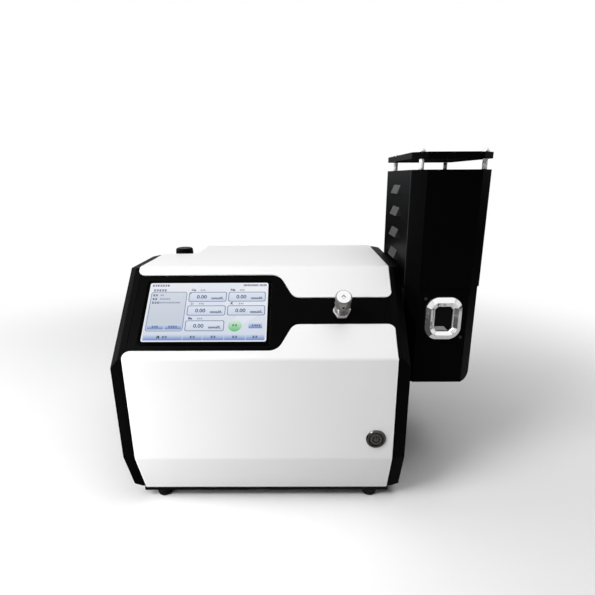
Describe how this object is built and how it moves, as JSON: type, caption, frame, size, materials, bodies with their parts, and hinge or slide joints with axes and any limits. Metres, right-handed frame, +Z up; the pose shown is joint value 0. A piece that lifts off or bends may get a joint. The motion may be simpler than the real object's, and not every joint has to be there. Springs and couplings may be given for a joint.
{
  "type": "flame photometer",
  "caption": "Bench flame photometer: a wedge-fronted housing with a sloping touch display, a gas valve knob and a side-mounted burner tower with a louvred chimney and a raised lid.",
  "frame": {"origin": "on the bench, under the middle of the main housing", "axes": "+X to the instrument's right, where the burner tower is; +Y to the rear; +Z up"},
  "size_m": [0.464, 0.3228, 0.4563],
  "materials": {
    "white_cover": "satin white powder coat on bent steel sheet",
    "black_moulding": "fine textured black moulded plastic",
    "black_fascia": "fine textured black moulded plastic, satin",
    "black_paint": "semi-matt black powder coat on steel sheet",
    "grey_base": "light grey powder coat on steel sheet",
    "rubber": "matt black rubber",
    "steel": "zinc plated steel",
    "chrome": "bright chrome plate",
    "display_glass": "glossy touch glass over a lit display",
    "circuit_board": "green circuit board with black parts",
    "anodised": "clear anodised aluminium",
    "dark_anodised": "dark anodised aluminium",
    "brass": "turned brass",
    "tubing": "translucent polymer tube",
    "black_plastic": "smooth black moulded plastic",
    "optical_glass": "clear polished glass",
    "ceramic": "white glazed ceramic with a metal tip"
  },
  "bodies": {
    "root": {"base_plate": "black_paint", "rubber_feet": "rubber", "foot_screws": "steel", "left_side_panel": "black_moulding", "right_side_panel": "black_moulding", "front_fascia": "black_fascia", "lower_cover": "white_cover", "upper_cover": "white_cover", "regulator_deck": "white_cover", "rear_panel": "grey_base", "rear_panel_screws": "steel", "touch_glass": "display_glass", "display_module": "anodised", "display_board": "circuit_board", "power_button_body": "dark_anodised", "power_button_nut": "steel", "fuel_valve_body": "chrome", "fuel_valve_nut": "chrome", "air_regulator_body": "anodised", "air_regulator_ring": "black_plastic", "air_inlet_fitting": "brass", "fuel_inlet_fitting": "brass", "fuel_shutoff_valve": "brass", "fuel_line": "tubing", "burner_line": "tubing", "air_line": "tubing", "main_board": "circuit_board", "board_standoffs": "brass", "power_supply": "steel", "cooling_fan_frame": "black_plastic", "fan_guard": "chrome", "mains_inlet": "black_plastic", "data_port": "steel", "optical_block": "dark_anodised", "collimating_lens": "optical_glass", "optical_filters": "optical_glass", "photodiodes": "steel", "tower_mount_plate": "black_paint", "burner_box": "black_paint", "chimney_shell": "black_paint", "chimney_liner": "steel", "lid_standoffs": "chrome", "chimney_lid": "black_paint", "lid_dome_nuts": "chrome", "window_rim": "chrome", "window_glass": "optical_glass", "window_screws": "steel", "spray_chamber": "anodised", "burner_head": "brass", "igniter": "ceramic", "nebuliser": "anodised"},
    "fuel_knob": {"fuel_valve_needle": "steel", "fuel_valve_knob": "chrome", "knob_set_screw": "steel"},
    "regulator_stem": {"air_regulator_stem": "steel"},
    "regulator_knob": {"air_regulator_knob": "black_plastic"},
    "power_cap": {"power_button_cap": "dark_anodised"},
    "mains_rocker": {"mains_switch_rocker": "black_plastic"},
    "fuse_carrier": {"fuse_drawer": "black_plastic"},
    "fan_rotor": {"cooling_fan_rotor": "black_plastic"}
  },
  "joints": [
    {"name": "fuel_knob_turn", "type": "hinge", "parent": "root", "child": "fuel_knob", "pos_m": [0.1007, -0.11239, 0.27211], "axis": [0, -0.7015, 0.7127], "range_deg": [0, 1440]},
    {"name": "regulator_turn", "type": "hinge", "parent": "root", "child": "regulator_stem", "pos_m": [-0.138, 0.072, 0.293], "axis": [0, 0, 1], "range_deg": [-720, 720]},
    {"name": "regulator_knob_lift", "type": "slide", "parent": "regulator_stem", "child": "regulator_knob", "axis": [0, 0, 1], "range_m": [0, 0.003]},
    {"name": "power_button_press", "type": "slide", "parent": "root", "child": "power_cap", "axis": [0, 0.9999, 0.0144], "range_m": [0, 0.002], "stiffness_N_per_m": 1500, "springref_m": -0.001},
    {"name": "mains_switch_rock", "type": "hinge", "parent": "root", "child": "mains_rocker", "pos_m": [-0.11, 0.1495, 0.092], "axis": [1, 0, 0], "range_deg": [-16, 0]},
    {"name": "fuse_drawer_slide", "type": "slide", "parent": "root", "child": "fuse_carrier", "axis": [0, 1, 0], "range_m": [0, 0.016]},
    {"name": "fan_spin", "type": "hinge", "parent": "root", "child": "fan_rotor", "pos_m": [0.03, 0.14, 0.203], "axis": [0, 1, 0], "continuous": true}
  ]
}
